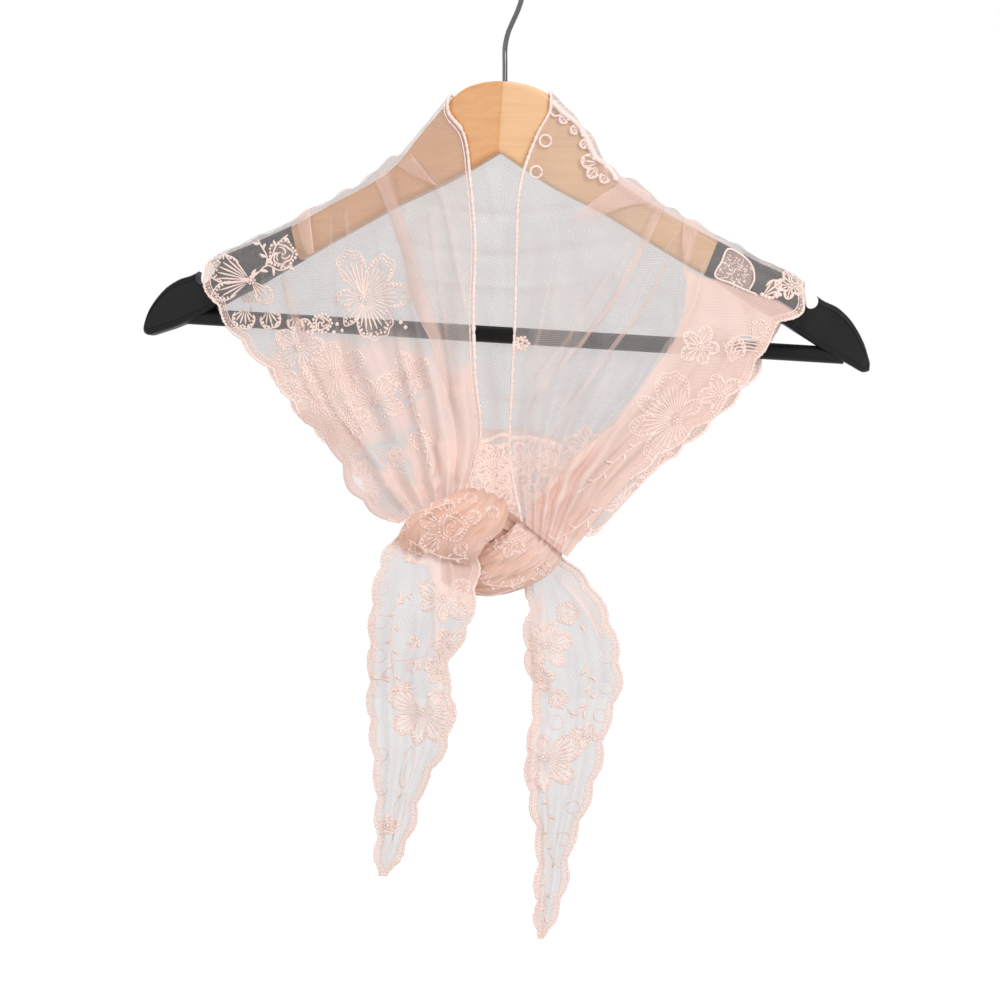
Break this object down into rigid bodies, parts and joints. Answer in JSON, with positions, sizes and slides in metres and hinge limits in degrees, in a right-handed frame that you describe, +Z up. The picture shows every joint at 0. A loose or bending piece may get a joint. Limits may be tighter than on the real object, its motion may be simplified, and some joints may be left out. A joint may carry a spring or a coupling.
{
  "type": "lace shawl on a clothes hanger",
  "caption": "Scalloped tulle shawl with embroidered edges, worn over a contoured hanger and tied in a half knot in front, with hanging ends.",
  "frame": {"origin": "inner top of the hook, where a rail carries the hanger", "axes": "+Z up, -Y to the front of the shawl, where the knot is, +X to the right as seen from the front"},
  "size_m": [0.4561, 0.1177, 0.5988],
  "materials": {
    "net": "fine pale pink net with satin-stitched flowers and a scalloped corded edge",
    "knotted_net": "many gathered layers of the same net, peach pink and nearly opaque",
    "wood": "clear lacquered pale hardwood",
    "black_plastic": "satin moulded black plastic",
    "hook_steel": "dark nickel plated wire"
  },
  "bodies": {
    "root": {"front_left": "net", "front_right": "net", "back": "net", "tail_left": "net", "tail_right": "net", "front_left_border_fold": "net", "front_right_turned_under": "net", "knot_left_strand": "knotted_net", "knot_right_strand": "knotted_net", "knot_over_turn": "knotted_net", "yoke_left": "wood", "yoke_right": "wood", "shoulder_cap_left": "black_plastic", "shoulder_cap_right": "black_plastic", "trouser_bar": "black_plastic", "hook_wire": "hook_steel"}
  },
  "joints": []
}
